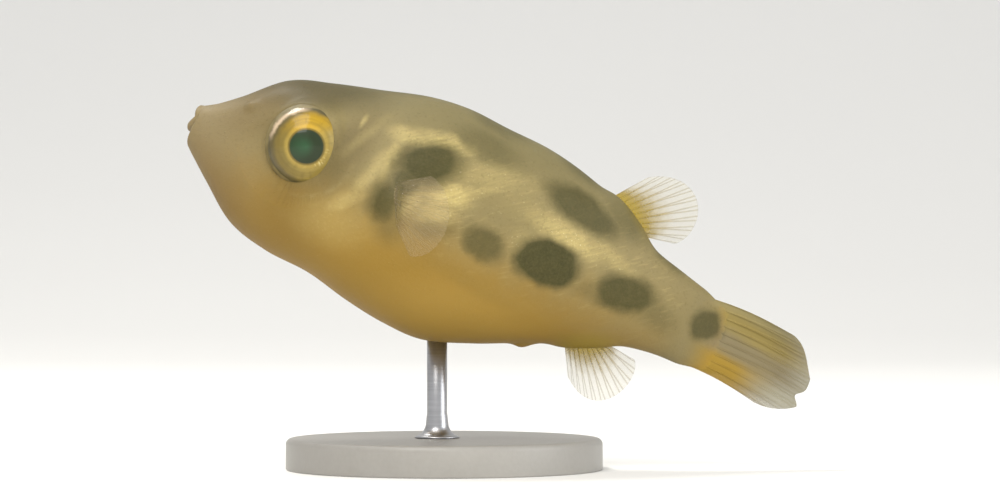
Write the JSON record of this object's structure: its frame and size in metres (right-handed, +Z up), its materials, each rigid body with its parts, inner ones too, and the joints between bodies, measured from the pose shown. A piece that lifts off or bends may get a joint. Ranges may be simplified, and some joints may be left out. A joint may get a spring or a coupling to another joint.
{
  "type": "dwarf freshwater pufferfish model",
  "caption": "Life-size still model of a spotted dwarf freshwater pufferfish hovering nose-up, with large golden eyes and fan fins, on a rod rising from a plain round display base.",
  "frame": {"origin": "centre of the display base's flat underside, which rests on the floor", "axes": "+Z up; the fish's snout points along -X and 22.5 degrees up, its tail along +X; +Y is its right side"},
  "size_m": [0.0262, 0.0132, 0.0162],
  "materials": {
    "skin": "moist, softly glossy",
    "eye": "wet and clear",
    "fin": "thin, translucent and ribbed",
    "tail_fin": "ribbed, half translucent",
    "beak": "smooth enamel",
    "stand_base": "satin mid grey",
    "stand_rod": "fine brushed"
  },
  "bodies": {
    "root": {"head": "skin", "trunk": "skin", "tail": "skin", "eye_left": "eye", "eye_right": "eye", "beak": "beak", "dorsal_fin": "fin", "anal_fin": "fin", "tail_fin": "tail_fin", "pectoral_fin_left": "fin", "pectoral_fin_right": "fin", "stand_base": "stand_base", "stand_rod": "stand_rod"}
  },
  "joints": []
}
